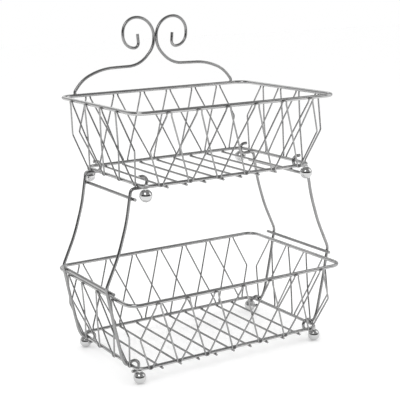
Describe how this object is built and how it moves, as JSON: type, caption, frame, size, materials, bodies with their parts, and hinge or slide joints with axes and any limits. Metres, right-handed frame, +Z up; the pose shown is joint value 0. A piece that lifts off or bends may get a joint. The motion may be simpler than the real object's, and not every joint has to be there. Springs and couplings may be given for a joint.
{
  "type": "tiered wire basket",
  "caption": "Two-tier chrome wire basket with flared lattice walls, ball feet, curved end frames with hooks and a scrolled rear handle; the upper basket lifts off.",
  "frame": {"origin": "on the floor, under the middle of the baskets", "axes": "+X along the baskets to the right, +Y to the rear where the handle is, +Z up"},
  "size_m": [0.4246, 0.269, 0.5429],
  "materials": {
    "chrome_wire": "bright plated steel wire",
    "chrome_ball": "mirror-polished plated ball"
  },
  "bodies": {
    "stand": {"lower_rim": "chrome_wire", "lower_base_frame": "chrome_wire", "lower_floor_rod_1": "chrome_wire", "lower_floor_rod_2": "chrome_wire", "lower_floor_rod_3": "chrome_wire", "lower_floor_rod_4": "chrome_wire", "lower_floor_rod_5": "chrome_wire", "lower_floor_rod_6": "chrome_wire", "lower_floor_rod_7": "chrome_wire", "lower_floor_rod_8": "chrome_wire", "lower_floor_rod_9": "chrome_wire", "lower_front_lattice_outer": "chrome_wire", "lower_front_lattice_inner": "chrome_wire", "lower_rear_lattice_outer": "chrome_wire", "lower_rear_lattice_inner": "chrome_wire", "lower_left_lattice_outer": "chrome_wire", "lower_left_lattice_inner": "chrome_wire", "lower_right_lattice_outer": "chrome_wire", "lower_right_lattice_inner": "chrome_wire", "lower_ball_foot_front_left": "chrome_ball", "lower_ball_foot_front_right": "chrome_ball", "lower_ball_foot_rear_left": "chrome_ball", "lower_ball_foot_rear_right": "chrome_ball", "left_front_upright": "chrome_wire", "left_rear_upright": "chrome_wire", "right_front_upright": "chrome_wire", "right_rear_upright": "chrome_wire", "left_upper_crossbar": "chrome_wire", "left_lower_crossbar": "chrome_wire", "right_upper_crossbar": "chrome_wire", "right_lower_crossbar": "chrome_wire"},
    "upper_basket": {"upper_rim": "chrome_wire", "upper_base_frame": "chrome_wire", "upper_floor_rod_1": "chrome_wire", "upper_floor_rod_2": "chrome_wire", "upper_floor_rod_3": "chrome_wire", "upper_floor_rod_4": "chrome_wire", "upper_floor_rod_5": "chrome_wire", "upper_floor_rod_6": "chrome_wire", "upper_floor_rod_7": "chrome_wire", "upper_floor_rod_8": "chrome_wire", "upper_front_lattice_outer": "chrome_wire", "upper_front_lattice_inner": "chrome_wire", "upper_rear_lattice_outer": "chrome_wire", "upper_rear_lattice_inner": "chrome_wire", "upper_left_lattice_outer": "chrome_wire", "upper_left_lattice_inner": "chrome_wire", "upper_right_lattice_outer": "chrome_wire", "upper_right_lattice_inner": "chrome_wire", "upper_ball_foot_front_left": "chrome_ball", "upper_ball_foot_front_right": "chrome_ball", "upper_ball_foot_rear_left": "chrome_ball", "upper_ball_foot_rear_right": "chrome_ball", "handle_scroll_left": "chrome_wire", "handle_scroll_right": "chrome_wire"}
  },
  "joints": [
    {"name": "upper_basket_lift", "type": "slide", "parent": "stand", "child": "upper_basket", "axis": [0, 0, 1], "range_m": [0, 0.12]}
  ]
}
